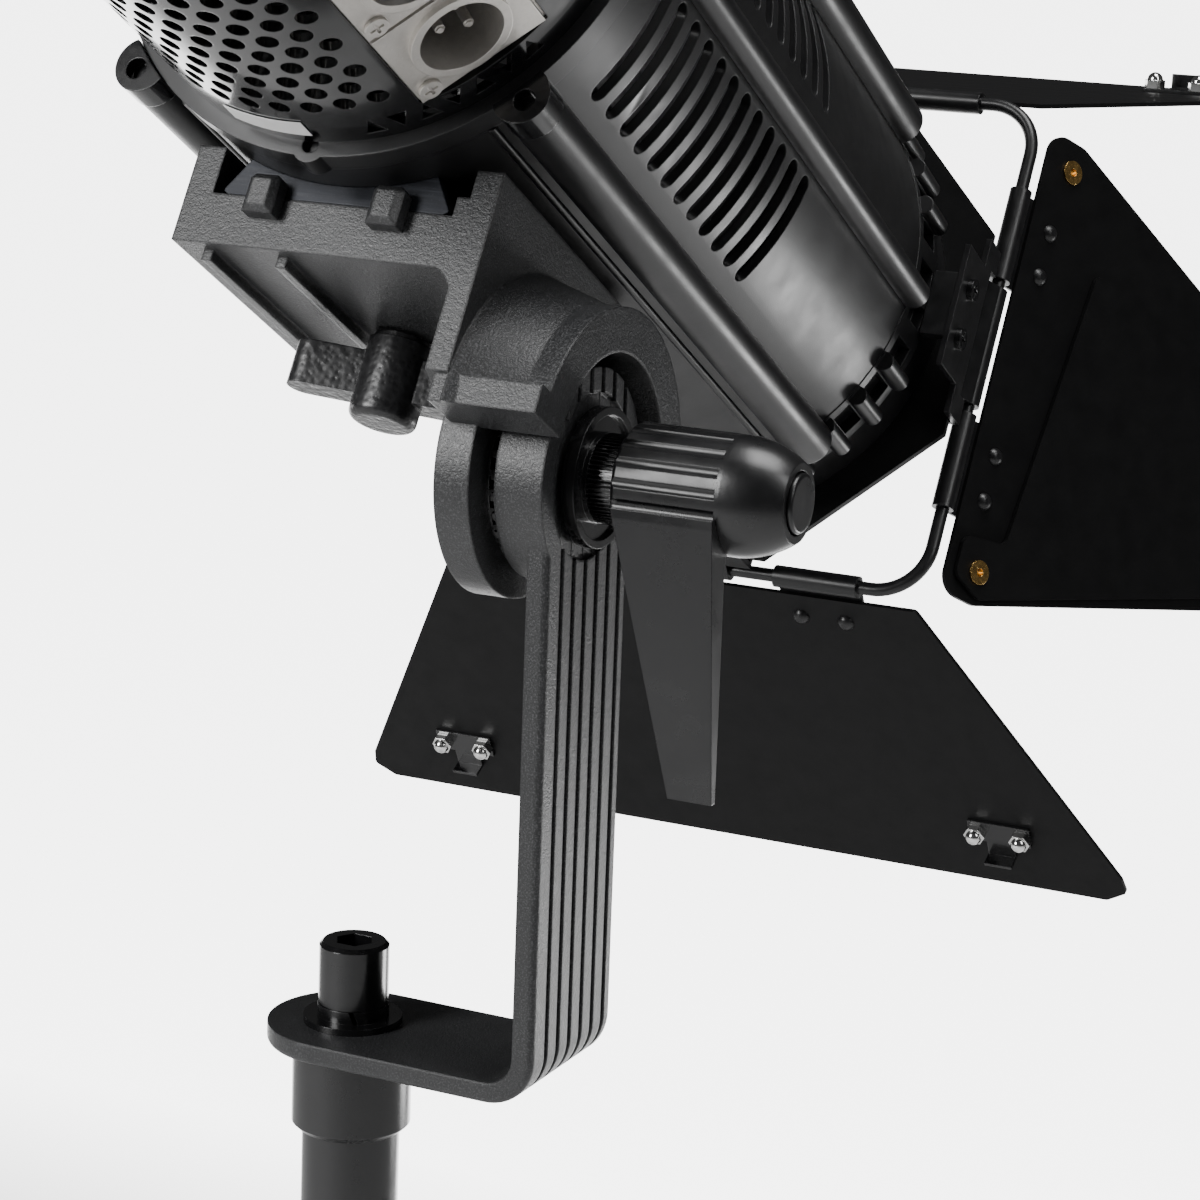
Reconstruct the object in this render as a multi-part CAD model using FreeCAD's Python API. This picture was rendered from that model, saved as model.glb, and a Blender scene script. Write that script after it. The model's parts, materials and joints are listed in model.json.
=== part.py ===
import FreeCAD, Part
import math
import os

# LED studio spotlight on a one-sided arm, with a four-leaf barn door. Millimetres, +Z up.
# The origin is the mouth of the stand socket. X is the tilt axis, and the light points along +Y.
# "Lamp frame": y runs forward along the lamp, z is lamp-up, and the tilt pivot is at its origin.

V = FreeCAD.Vector
X, Y, Z = V(1, 0, 0), V(0, 1, 0), V(0, 0, 1)

# Stand socket and arm
SOCKET_LEN = 55.0
SOCKET_BORE_R = 8.1
SLEEVE_R = 11.5
COLLAR_R = 14.0
COLLAR_LEN = 21.0
BORE_DEPTH = 42.0
LOCK_Z = 11.0
ARM_FACE_X = 57.0
ARM_T = 5.0
ARM_W = 40.0
ARM_BEND_R = 12.0
GROOVES = 6
GROOVE_W = 1.8
GROOVE_DEPTH = 1.3
BOSS_R = 24.0
BOSS_X = 45.5
PIVOT_HEIGHT = 141.5
PIVOT_Z = SOCKET_LEN + PIVOT_HEIGHT
TILT = 30.7

# Clamp bracket, all in the lamp frame
PLATE_HALF = 37.4
PLATE_LOW, PLATE_TOP = 28.0, 40.0
PLATE_BACK, PLATE_FRONT = -42.5, 40.0
LUG_TOP = 51.0
LUG_IN = 30.5
WEB_IN, WEB_OUT = 33.5, 39.0
EAR_OUT = 42.0
EAR_R = 29.0
HOOD_X = 61.0
HOOD_R = 37.5
HOOD_IN_R = 27.5
HOOD_FRONT = 25.0
BOLT_R = 5.0
KNOB_Y = 4.0

# Head, in the lamp frame
AXIS_Z = 108.5
SHELL_R = 64.0
SHELL_T = 2.5
SHELL_BACK, SHELL_FRONT = -52.0, 136.0
RIM_BACK = -58.0
CAP_BACK = -130.0
CAP_R = 61.0
TUBES = {45: (6.2, 66.5), 87: (4.0, 65.5), 132: (6.2, 66.5)}   # angle: (radius, pitch radius)
TUBE_ANGLES = (45, 87, 132, -132, -87, -45)
SLOTS = 12
SLOT_FIRST, SLOT_PITCH = -38.5, 8.57
SLOT_W = 5.0

# Barn door, in the lamp frame
DOOR_Y = 167.5
DOOR_HALF = 70.5
DOOR_T = 2.0
WIRE_Y = 177.5
WIRE_HALF = 71.5
WIRE_R = 1.8
WIRE_BEND = 14.0
SHEET_T = 1.2
LEAF_SPLAY = 30.0


def cyl(r, h, at, axis=Z):
    return Part.makeCylinder(r, h, V(*at), axis)


def ring(r_out, r_in, h, at, axis=Z):
    inner = cyl(r_in, h + 2, (V(*at) - axis), axis)
    return cyl(r_out, h, at, axis).cut(inner)


def box(x, y, z):
    """Box from three (low, high) pairs."""
    return Part.makeBox(x[1] - x[0], y[1] - y[0], z[1] - z[0], V(x[0], y[0], z[0]))


def prism(points, depth):
    """Closed polygon extruded by the vector depth."""
    wire = Part.makePolygon([V(*p) for p in points] + [V(*points[0])])
    return Part.Face(wire).extrude(V(*depth))


def turned(shape, axis, angle, about=(0, 0, 0)):
    copy = shape.copy()
    copy.rotate(V(*about), axis, angle)
    return copy


def moved(shape, by):
    copy = shape.copy()
    copy.translate(V(*by))
    return copy


def in_lamp(shape):
    """Takes a shape from the lamp frame to the row frame."""
    return moved(turned(shape, X, -TILT), (0, 0, PIVOT_Z))


def fused(shapes):
    whole = shapes[0].multiFuse(shapes[1:])
    return whole.removeSplitter()


def save(name, *shapes):
    shape = shapes[0] if len(shapes) == 1 else Part.makeCompound(list(shapes))
    shape.exportStep("parts/" + name + ".step")


def round_axis(shape, angle):
    """Turns a shape round the lamp's own axis; 0 is straight down, +90 is towards +X."""
    return turned(shape, Y, -angle, (0, 0, AXIS_Z))


def below_axis(radius):
    return AXIS_Z - radius


# ---------------------------------------------------------------- stand socket and arm

def stand_socket():
    body = cyl(SLEEVE_R, SOCKET_LEN - COLLAR_LEN + 1, (0, 0, 0))
    body = body.fuse(cyl(COLLAR_R, COLLAR_LEN, (0, 0, SOCKET_LEN - COLLAR_LEN)))
    body = body.fuse(cyl(5.2, 3.0, (SLEEVE_R - 2, 0, LOCK_Z), X))
    body = body.removeSplitter()
    body = body.cut(cyl(SOCKET_BORE_R, BORE_DEPTH, (0, 0, 0)))
    body = body.cut(cyl(5.1, SOCKET_LEN, (0, 0, 1)))
    body = body.cut(cyl(3.05, 30, (0, 0, LOCK_Z), X))
    edges = [e for e in body.Edges if abs(e.BoundBox.ZMin - (SOCKET_LEN - COLLAR_LEN)) < 0.01
             and abs(e.BoundBox.ZMax - e.BoundBox.ZMin) < 0.01 and e.BoundBox.XLength > 27]
    return body.makeChamfer(1.5, edges)


def hexagon(radius, centre, axis):
    """Corners of a hexagon round a centre, in the plane across the X or Z axis."""
    corners = []
    for i in range(6):
        u, v = radius * math.cos(math.pi * i / 3), radius * math.sin(math.pi * i / 3)
        offset = (0, u, v) if axis == X else (u, v, 0)
        corners.append(tuple(c + o for c, o in zip(centre, offset)))
    return corners


def lock_screw():
    """Socket-headed screw that clamps the spigot."""
    shank = cyl(3.0, 7.0, (8.6, 0, LOCK_Z), X)
    head = cyl(4.4, 4.0, (12.9, 0, LOCK_Z), X)
    head = head.makeChamfer(0.5, [e for e in head.Edges if e.BoundBox.XMin > 16])
    return head.fuse(shank).cut(prism(hexagon(2.3, (14.6, 0, LOCK_Z), X), (5, 0, 0)))


def cap_screw():
    top = SOCKET_LEN + ARM_T + 4.6
    head = cyl(8.2, 15.0, (0, 0, top))
    head = head.makeChamfer(0.9, [e for e in head.Edges if e.Curve.TypeId == "Part::GeomCircle"
                                  and e.BoundBox.ZMin > top + 14])
    shank = cyl(5.0, 21.0, (0, 0, top - 21))
    return head.fuse(shank).cut(prism(hexagon(4.6, (0, 0, top + 7), Z), (0, 0, 10)))


def socket_washers():
    """Flat washer with a split spring washer on it."""
    flat = ring(11.6, 5.3, 1.6, (0, 0, SOCKET_LEN + ARM_T))
    low = SOCKET_LEN + ARM_T + 1.6
    whole = ring(8.4, 5.3, 3.0, (0, 0, low))
    gap = turned(box((4, 10), (-0.5, 0.5), (low - 2, low + 5)), X, 20, (0, 0, low + 1.5))
    return [flat, whole.cut(turned(gap, Z, -60))]


def arm_profile():
    """L-shaped side view in XZ, foot first, as a face at y=0."""
    inner_x = ARM_FACE_X - ARM_T
    inner_r = ARM_BEND_R - ARM_T
    foot, top = SOCKET_LEN, PIVOT_Z
    q = math.sqrt(0.5)
    co = V(ARM_FACE_X - ARM_BEND_R, 0, foot + ARM_BEND_R)
    points = [V(0, 0, foot), V(ARM_FACE_X - ARM_BEND_R, 0, foot),
              V(ARM_FACE_X, 0, foot + ARM_BEND_R), V(ARM_FACE_X, 0, top),
              V(inner_x, 0, top), V(inner_x, 0, foot + ARM_BEND_R),
              V(inner_x - inner_r, 0, foot + ARM_T), V(0, 0, foot + ARM_T)]
    outer = Part.Arc(points[1], co + V(ARM_BEND_R * q, 0, -ARM_BEND_R * q), points[2]).toShape()
    inner = Part.Arc(points[5], co + V(inner_r * q, 0, -inner_r * q), points[6]).toShape()
    lines = [Part.makeLine(points[a], points[b]) for a, b in ((0, 1), (2, 3), (3, 4), (4, 5), (6, 7), (7, 0))]
    wire = Part.Wire([lines[0], outer, lines[1], lines[2], lines[3], inner, lines[4], lines[5]])
    return Part.Face(wire)


def groove_path_solid(y):
    """One groove up the outer face and round the bend."""
    low = SOCKET_LEN - 1
    depth_x = ARM_FACE_X - GROOVE_DEPTH
    straight = box((depth_x, ARM_FACE_X + 1), (y, y + GROOVE_W), (SOCKET_LEN + ARM_BEND_R, PIVOT_Z + 30))
    bend = ring(ARM_BEND_R + 1, ARM_BEND_R - GROOVE_DEPTH, GROOVE_W,
                (ARM_FACE_X - ARM_BEND_R, y, SOCKET_LEN + ARM_BEND_R), Y)
    corner = box((ARM_FACE_X - ARM_BEND_R, ARM_FACE_X + 2), (y, y + GROOVE_W),
                 (low - 1, SOCKET_LEN + ARM_BEND_R))
    return straight.fuse(bend.common(corner))


def side_arm():
    bar = arm_profile().extrude(V(0, ARM_W, 0))
    bar = moved(bar, (0, -ARM_W / 2, 0))
    bar = bar.fuse(cyl(ARM_W / 2, ARM_T, (0, 0, SOCKET_LEN))).removeSplitter()
    long_edges = [e for e in bar.Edges if e.BoundBox.ZLength > 70 and e.BoundBox.XMin > ARM_FACE_X - 0.1]
    bar = bar.makeFillet(1.6, long_edges)
    boss = cyl(BOSS_R, ARM_FACE_X - BOSS_X, (BOSS_X, 0, PIVOT_Z), X)
    bar = bar.fuse(boss).removeSplitter()
    pitch = ARM_W / (GROOVES + 1)
    for i in range(GROOVES):
        bar = bar.cut(groove_path_solid(-ARM_W / 2 + pitch * (i + 1) + 0.4))
    bar = bar.cut(cyl(BOLT_R + 0.05, 40, (BOSS_X - 5, 0, PIVOT_Z), X))
    bar = bar.cut(cyl(18.5, 1.2, (ARM_FACE_X - 1.2, 0, PIVOT_Z), X))
    return bar.cut(cyl(5.3, 10, (0, 0, SOCKET_LEN - 1)))


def rosette(x_low, x_high, teeth_high, r_out, r_in, phase):
    """Flat ring with radial teeth on one side."""
    base = ring(r_out, r_in, x_high - x_low, (x_low, 0, 0), X)
    count = 30
    notch = prism([(0, r_in - 1, -0.9), (0, r_out + 1, -1.5), (0, r_out + 1, 1.5), (0, r_in - 1, 0.9)],
                  (1.3, 0, 0))
    start = x_high - 1.0 if teeth_high else x_low - 0.3
    notches = [turned(moved(notch, (start, 0, 0)), X, phase + 360.0 * i / count) for i in range(count)]
    return base.cut(Part.makeCompound(notches))


def arm_rosette():
    return moved(rosette(43.9, BOSS_X, False, 22.5, 13.0, 0), (0, 0, PIVOT_Z))


# ---------------------------------------------------------------- clamp bracket (lamp frame)

def clamp_bracket():
    along = (PLATE_BACK, PLATE_FRONT)
    plate = box((-PLATE_HALF, WEB_OUT), along, (PLATE_LOW, PLATE_TOP))
    left = box((-PLATE_HALF, -LUG_IN), along, (PLATE_TOP - 1, LUG_TOP))
    right = box((LUG_IN + 2, WEB_OUT), along, (PLATE_TOP - 1, LUG_TOP))
    step = box((LUG_IN - 1, LUG_IN + 3), along, (PLATE_TOP - 1, 44.5))
    web = prism([(WEB_IN, PLATE_BACK, PLATE_TOP - 4), (WEB_IN, PLATE_FRONT, PLATE_TOP - 4),
                 (WEB_IN, 27.0, 0), (WEB_IN, -EAR_R, 0), (WEB_IN, PLATE_BACK, 5)], (WEB_OUT - WEB_IN, 0, 0))
    ear = cyl(EAR_R, EAR_OUT - WEB_IN, (WEB_IN, 0, 0), X)
    under_hood = box((WEB_OUT - 2, HOOD_X + 2), (-60, 60), (-60, -1.5))
    front = turned(box((WEB_OUT - 2, HOOD_X + 2), (0, 60), (-60, 0)), X, HOOD_FRONT)
    hood = ring(HOOD_R, HOOD_IN_R, HOOD_X - WEB_OUT + 1, (WEB_OUT - 1, 0, 0), X)
    cone = Part.makeCone(HOOD_R + 5, HOOD_R, HOOD_X - WEB_OUT - 6, V(WEB_OUT, 0, 0), X)
    cone = cone.cut(cyl(HOOD_R - 4, 60, (WEB_OUT - 5, 0, 0), X))
    hood = hood.fuse(cone).cut(under_hood).cut(front)
    shelf = box((WEB_IN + 2, HOOD_X), (PLATE_BACK + 1, -HOOD_IN_R), (-1.5, 5.0))
    corner = prism([(WEB_IN - 7, PLATE_BACK, PLATE_LOW + 0.5), (WEB_IN + 1, PLATE_BACK, PLATE_LOW + 0.5),
                    (WEB_IN + 1, PLATE_BACK, PLATE_LOW - 9)], (0, PLATE_FRONT - PLATE_BACK, 0))
    corner = corner.cut(cyl(9.0, 90, (WEB_IN - 8.2, PLATE_BACK - 1, PLATE_LOW - 8.2), Y))
    ribs = [box((x, x + 2.5), (PLATE_BACK + 4, PLATE_FRONT), (PLATE_LOW - 2.5, PLATE_LOW + 1))
            for x in (-31, -12)]
    body = fused([plate, left, right, step, web, ear, hood, shelf, corner] + ribs)
    body = body.cut(cyl(BOLT_R + 0.02, 60, (WEB_IN - 5, 0, 0), X))
    body = body.cut(cyl(HOOD_IN_R, 40, (EAR_OUT, 0, 0), X))
    return body.cut(cyl(4.05, 40, (0, KNOB_Y, PLATE_LOW - 8)))


def bracket_rosette():
    return rosette(EAR_OUT, 43.5, True, 20.5, 13.0, 6)


def pivot_bolt():
    shank = cyl(BOLT_R, 65.5 - WEB_IN, (WEB_IN, 0, 0), X)
    return prism(hexagon(15.5, (WEB_IN - 6, 0, 0), X), (6, 0, 0)).fuse(shank)


def stop_lugs():
    """Two cast stops that sit on the rear face of the plate and cover the edge of the rail."""
    lug = prism([(-3.8, PLATE_BACK, 35.0), (3.8, PLATE_BACK, 35.0), (3.8, PLATE_BACK, 43.0),
                 (2.8, PLATE_BACK, 44.0), (-2.8, PLATE_BACK, 44.0), (-3.8, PLATE_BACK, 43.0)], (0, -5.0, 0))
    edges = [e for e in lug.Edges if e.BoundBox.YMax < PLATE_BACK - 4.9]
    lug = lug.makeChamfer(1.5, edges)
    return [moved(lug, (x, 0, 0)) for x in (-16.0, 15.0)]


def clamp_jaw():
    """Loose wedge beside the rail, pulled against its sloping side by the clamp."""
    profile = [(29.0, 42.2), (25.7, 48.2), (32.3, 48.2), (32.3, 44.8), (29.3, 44.8), (29.3, 42.2)]
    return prism([(x, -30, z) for x, z in profile], (0, 60, 0))


def clamp_knob():
    """Wing knob: a short hub with a waisted wing each way."""
    hub = cyl(8.0, 19.0, (0, KNOB_Y, 7.0))
    hub = hub.makeFillet(2.0, [e for e in hub.Edges if e.Curve.TypeId == "Part::GeomCircle"
                               and e.BoundBox.ZMin < 8])
    wing = box((-20.0, 20.0), (KNOB_Y - 4.2, KNOB_Y + 4.2), (12.0, 22.5))
    ends = [cyl(4.2, 10.5, (s * 20.0, KNOB_Y, 12.0)) for s in (-1, 1)]
    waist = [cyl(16.0, 20, (0, KNOB_Y + s * 18.6, 8)) for s in (-1, 1)]
    wings = fused([wing] + ends).cut(Part.makeCompound(waist))
    collar = cyl(7.0, 1.4, (0, KNOB_Y, 26.0))
    whole = fused([hub, wings, collar]).cut(cyl(4.0, 30, (0, KNOB_Y, 15)))
    return turned(whole, Z, 12, (0, KNOB_Y, 0))


def clamp_stud():
    return cyl(4.0, 24.0, (0, KNOB_Y, 15.0))


# ---------------------------------------------------------------- tilt lever (row frame, at the pivot)

def lever_collar():
    """Turned collar: a raised-rim flange against the arm and a knurled neck."""
    flange = cyl(15.6, 2.0, (57.3, 0, 0), X)
    lip = ring(15.6, 13.8, 1.0, (59.3, 0, 0), X)
    neck = cyl(10.0, 8.2, (59.3, 0, 0), X)
    cuts = [turned(box((60.5, 69), (9.4, 11), (-0.35, 0.35)), X, 6.0 * i) for i in range(60)]
    neck = neck.cut(Part.makeCompound(cuts))
    return fused([flange, lip, neck]).cut(cyl(BOLT_R + 0.05, 14, (56, 0, 0), X))


def lever_hub():
    """Fluted barrel with a tapered nose."""
    outline = [V(67.5, 0, 0), V(67.5, 0, 12.4), V(68.5, 0, 13.3), V(93.0, 0, 13.3)]
    nose = Part.Arc(V(93.0, 0, 13.3), V(101.0, 0, 11.6), V(106.0, 0, 8.8)).toShape()
    lines = [Part.makeLine(outline[i], outline[i + 1]) for i in range(3)]
    wire = Part.Wire(lines + [nose, Part.makeLine(V(106.0, 0, 8.8), V(106.0, 0, 0)),
                              Part.makeLine(V(106.0, 0, 0), outline[0])])
    barrel = Part.Face(wire).revolve(V(0, 0, 0), X, 360)
    flutes = [turned(cyl(1.5, 26.0, (66.0, 0, 14.2), X), X, 20.0 * i) for i in range(18)]
    barrel = barrel.cut(Part.makeCompound(flutes))
    return barrel.cut(cyl(7.0, 5.0, (102.0, 0, 0), X)).cut(cyl(BOLT_R + 0.05, 2, (66.5, 0, 0), X))


def lever_blade():
    """Flat wedge that hangs from the rear of the barrel and narrows to its tip."""
    face = prism([(68.5, -14.5, -3.0), (92.5, -14.5, -3.0), (94.0, -14.5, -66.0), (83.5, -14.5, -66.0)],
                 (0, 12.0, 0))
    taper = prism([(60, -1.5, 0), (60, -1.5, -70), (60, -10.0, -70), (60, -7.5, -14)], (40, 0, 0))
    back = prism([(60, -16, -70), (60, -11.5, -70), (60, -14.6, -3), (60, -16, -3)], (40, 0, 0))
    return face.cut(taper).cut(back).cut(cyl(13.35, 60, (60, 0, 0), X))


def lever_button():
    button = cyl(6.6, 2.6, (104.5, 0, 0), X)
    return button.makeFillet(0.8, [e for e in button.Edges if e.Curve.TypeId == "Part::GeomCircle"
                                   and e.BoundBox.XMin > 107])


# ---------------------------------------------------------------- head (lamp frame)

def dovetail_rail():
    bottom, top = 40.2, 52.0
    profile = [(-28.0, 41.4), (-28.0, 40.8), (-27.0, bottom), (27.0, bottom), (28.0, 40.8), (28.0, 41.4),
               (22.3, 50.5), (22.3, top), (-22.3, top), (-22.3, 50.5)]
    start = PLATE_BACK + 0.3
    bar = prism([(x, start, z) for x, z in profile], (0, SHELL_FRONT - 30 - start, 0))
    for x in (-14.0, 14.0):
        bar = bar.cut(box((x - 0.5, x + 0.5), (start - 1, 200), (bottom - 1, bottom + 0.6)))
    return bar.cut(cyl(SHELL_R + 0.02, 300, (0, -150, AXIS_Z), Y))


def housing_shell():
    length = SHELL_FRONT - SHELL_BACK
    shell = ring(SHELL_R, SHELL_R - SHELL_T, length, (0, SHELL_BACK, AXIS_Z), Y)
    slots = []
    for i in range(SLOTS):
        y = SLOT_FIRST + SLOT_PITCH * i
        for low, high in ((57, 80), (100, 123), (-80, -57), (-123, -100), (146, 170), (-170, -146)):
            slots.append(arc_slot(low, high, y))
    return shell.cut(Part.makeCompound(slots))


def arc_slot(low, high, y):
    """Round-ended slot through the shell, between two angles round the lamp's axis."""
    top, bottom = below_axis(SHELL_R - SHELL_T - 2), below_axis(SHELL_R + 2)
    back, front = y - SLOT_W / 2, y + SLOT_W / 2
    corners = [V(0, back, bottom), V(0, front, bottom), V(0, front, top), V(0, back, top)]
    face = Part.Face(Part.makePolygon(corners + [corners[0]]))
    sector = round_axis(face, low).revolve(V(0, 0, AXIS_Z), Y, low - high)
    ends = [round_axis(cyl(SLOT_W / 2, 6.5, (0, y, bottom), Z), a) for a in (low, high)]
    return sector.multiFuse(ends)


def tube_at(angle, r, y_low, y_high, pitch_r):
    return round_axis(cyl(r, y_high - y_low, (0, y_low, below_axis(pitch_r)), Y), angle)


def tie_tubes():
    """Six ribs along the housing that carry the long tie screws, and a bead below each lower rib."""
    cutter = cyl(SHELL_R + 0.02, 300, (0, -150, AXIS_Z), Y)
    out = []
    for angle in TUBE_ANGLES:
        r, pitch_r = TUBES[abs(angle)]
        out.append(tube_at(angle, r, SHELL_BACK, SHELL_FRONT, pitch_r).cut(cutter))
    for angle in (-36.5, 36.5):
        out.append(tube_at(angle, 1.0, SHELL_BACK, SHELL_FRONT - 6, SHELL_R).cut(cutter))
    return out


def tube_screws():
    """Capped screw at the rear end of each tube."""
    caps = []
    for angle in TUBE_ANGLES:
        r, pitch_r = TUBES[abs(angle)]
        cap = tube_at(angle, r + 0.4, RIM_BACK - 1.5, SHELL_BACK, pitch_r)
        socket = tube_at(angle, 2.5, RIM_BACK - 3, RIM_BACK + 1.5, pitch_r + 1.5)
        caps.append(cap.cut(cyl(SHELL_R + 0.6, 300, (0, -150, AXIS_Z), Y)).cut(socket))
    return caps


def rear_rim():
    band = ring(SHELL_R + 0.5, SHELL_R - 6, SHELL_BACK - RIM_BACK, (0, RIM_BACK, AXIS_Z), Y)
    lobe = cyl(4.2, SHELL_BACK - RIM_BACK, (0, RIM_BACK, below_axis(SHELL_R - 2.2)), Y)
    band = band.fuse(lobe).removeSplitter()
    return band.cut(cyl(1.9, 3.0, (0, RIM_BACK - 1, below_axis(SHELL_R - 2.2)), Y))


FLAT_ANGLE = 43.0
CONNECTOR_FLAT = (-121.8, -66.4)
CONN_SCREWS = ((-12.2, 9.8), (12.2, -9.8))
INLET_Y, OUTLET_Y = -80.5, -107.5
PINS = ((-3.2, 0.0), (2.2, 3.7), (2.2, -3.7))


def cap_solid(r, back, front, bevel):
    body = cyl(r, front - back, (0, back, AXIS_Z), Y)
    return body.makeFillet(bevel, [e for e in body.Edges if e.Curve.TypeId == "Part::GeomCircle"
                                   and e.BoundBox.YMax < back + 0.1])


def cap_holes():
    """Staggered rows of round holes on both sides, and rings of them in the rear face."""
    holes = []
    for row in range(9):
        y = RIM_BACK - 16.0 - row * 5.7
        for i in range(41):
            angle = -151 + i * 7.2 + (3.6 if row % 2 else 0)
            if -150 < angle < 24.6 or 62 < angle < 112:
                holes.append(round_axis(cyl(2.4, 8, (0, y, below_axis(CAP_R + 3))), angle))
    for ring_r, count in ((12, 8), (20, 14), (28, 20), (36, 26), (44, 32)):
        for i in range(count):
            a = 2 * math.pi * i / count
            holes.append(cyl(2.4, 8, (ring_r * math.cos(a), CAP_BACK - 3, AXIS_Z + ring_r * math.sin(a)), Y))
    return holes


def cap_vents():
    """Alternating triangular vents just behind the rim."""
    low, high = below_axis(CAP_R + 3), below_axis(CAP_R - 4)
    vents = []
    for i in range(7):
        wide, tip = (RIM_BACK - 7.6, RIM_BACK - 2.6) if i % 2 else (RIM_BACK - 2.6, RIM_BACK - 7.6)
        vent = prism([(-2.4, wide, low), (2.4, wide, low), (0, tip, low)], (0, 0, high - low))
        vents.append(round_axis(vent, 16.0 + 6.0 * i))
    return vents


def rear_cap():
    """Perforated cover over the fan and driver, with an opening for the connector plate."""
    shell = cap_solid(CAP_R, CAP_BACK, RIM_BACK, 7.0)
    shell = shell.cut(cap_solid(CAP_R - 2.2, CAP_BACK + 2.2, RIM_BACK + 1, 5.0))
    window = box((-16.0, 16.0), CONNECTOR_FLAT, (below_axis(CAP_R + 5), below_axis(CAP_R - 10.5)))
    shell = shell.cut(Part.makeCompound(cap_holes())).cut(Part.makeCompound(cap_vents()))
    return shell.cut(round_axis(window, FLAT_ANGLE))


def flat_box(x, y, depth):
    """Box on the connector flat; depth is measured inward from radius CAP_R."""
    return round_axis(box(x, y, (below_axis(CAP_R - depth[0]), below_axis(CAP_R - depth[1]))), FLAT_ANGLE)


def flat_cyl(r, x, y, depth):
    at = (x, y, below_axis(CAP_R - depth[0]))
    return round_axis(cyl(r, depth[1] - depth[0], at), FLAT_ANGLE)


def connector_plate():
    plate = flat_box((-15.9, 15.9), (CONNECTOR_FLAT[0] + 0.1, CONNECTOR_FLAT[1] - 0.1), (3.0, 5.2))
    for mid in (INLET_Y, OUTLET_Y):
        plate = plate.cut(flat_cyl(11.2, 0, mid, (0, 9)))
        for sx, sy in CONN_SCREWS:
            plate = plate.cut(flat_cyl(1.65, sx, mid + sy, (0, 6)))
    return plate


def chassis_connector(mid, mouth_r):
    """Square flange with a raised round mouth and a barrel behind it."""
    body = flat_box((-15.4, 15.4), (mid - 13, mid + 13), (1.0, 3.0))
    body = body.fuse(flat_cyl(10.9, 0, mid, (2.5, 24.0))).fuse(flat_cyl(mouth_r + 2.0, 0, mid, (-0.4, 2.0)))
    body = body.cut(flat_cyl(mouth_r, 0, mid, (-1.0, 22.0)))
    for sx, sy in CONN_SCREWS:
        body = body.cut(flat_cyl(1.65, sx, mid + sy, (0, 5)))
    return body


def data_inlet():
    return chassis_connector(INLET_Y, 9.4)


def data_outlet():
    return chassis_connector(OUTLET_Y, 9.0)


def connector_inserts():
    """Pin carrier deep in the inlet, and the socket block near the mouth of the outlet."""
    carrier = flat_cyl(9.35, 0, INLET_Y, (15.0, 22.0))
    block = flat_cyl(8.95, 0, OUTLET_Y, (2.2, 22.0))
    for px, py in PINS:
        carrier = carrier.cut(flat_cyl(1.2, px, INLET_Y + py, (14, 23)))
        block = block.cut(flat_cyl(1.4, px, OUTLET_Y + py, (0, 18)))
    return [carrier, block]


def inlet_pins():
    pins = [flat_cyl(1.15, px, INLET_Y + py, (4.5, 22.0)) for px, py in PINS]
    return [p.fuse(flat_cyl(0.8, px, INLET_Y + py, (4.0, 5.0))) for p, (px, py) in zip(pins, PINS)]


def connector_screws():
    """Cross-head screws of the two flanges."""
    out = []
    for mid in (INLET_Y, OUTLET_Y):
        for sx, sy in CONN_SCREWS:
            y = mid + sy
            screw = flat_cyl(1.6, sx, y, (0.6, 4.5)).fuse(flat_cyl(2.6, sx, y, (0.1, 0.98)))
            along = flat_box((sx - 0.35, sx + 0.35), (y - 1.6, y + 1.6), (-0.5, 0.6))
            across = flat_box((sx - 1.6, sx + 1.6), (y - 0.35, y + 0.35), (-0.5, 0.6))
            out.append(screw.cut(along).cut(across))
    return out


CLIP_ANGLES = (90, 0, 270)
RING_LEN = 16.0


def front_ring():
    """Castellated ring in front of the housing: round ribs with a pocket between each two."""
    front = SHELL_FRONT + RING_LEN
    band = ring(SHELL_R + 0.2, SHELL_R - 9, RING_LEN, (0, SHELL_FRONT, AXIS_Z), Y)
    nose = ring(SHELL_R - 2, SHELL_R - 9, DOOR_Y - front, (0, front, AXIS_Z), Y)
    ribs, pockets = [], []
    for angle in range(0, 360, 10):
        if all(abs(angle - a) > 12 for a in (0, 90, 270, 360)):
            ribs.append(tube_at(angle, 2.6, SHELL_FRONT + 1.0, front - 1.0, SHELL_R + 1.2))
        pocket = box((-2.8, 2.8), (SHELL_FRONT + 3.0, front - 3.0),
                     (below_axis(SHELL_R + 2), below_axis(SHELL_R - 3)))
        pockets.append(round_axis(pocket, angle + 5))
    return fused([band, nose] + ribs).cut(Part.makeCompound(pockets))


def accessory_clips():
    """Three spring brackets that hold the barn door's plate."""
    outer, inner = below_axis(72.6), below_axis(71.0)
    hook_y = DOOR_Y + DOOR_T + 1.8
    clips = []
    for angle in CLIP_ANGLES:
        foot = box((-17, 17), (SHELL_FRONT + 12.0, 163.0), (outer, inner))
        wide = box((-25, 25), (162.0, DOOR_Y - 0.3), (outer, inner))
        post = box((-9, 9), (SHELL_FRONT + 12.5, SHELL_FRONT + 15.5),
                   (below_axis(71.5), below_axis(SHELL_R + 0.3)))
        fingers = []
        for x in (-21.5, 21.5):
            fingers.append(box((x - 3.5, x + 3.5), (DOOR_Y - 1.0, hook_y), (outer, inner)))
            fingers.append(box((x - 3.5, x + 3.5), (hook_y - 1.5, hook_y), (outer, below_axis(67.0))))
        clips.append(round_axis(fused([foot, wide, post] + fingers), angle))
    return clips


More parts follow.
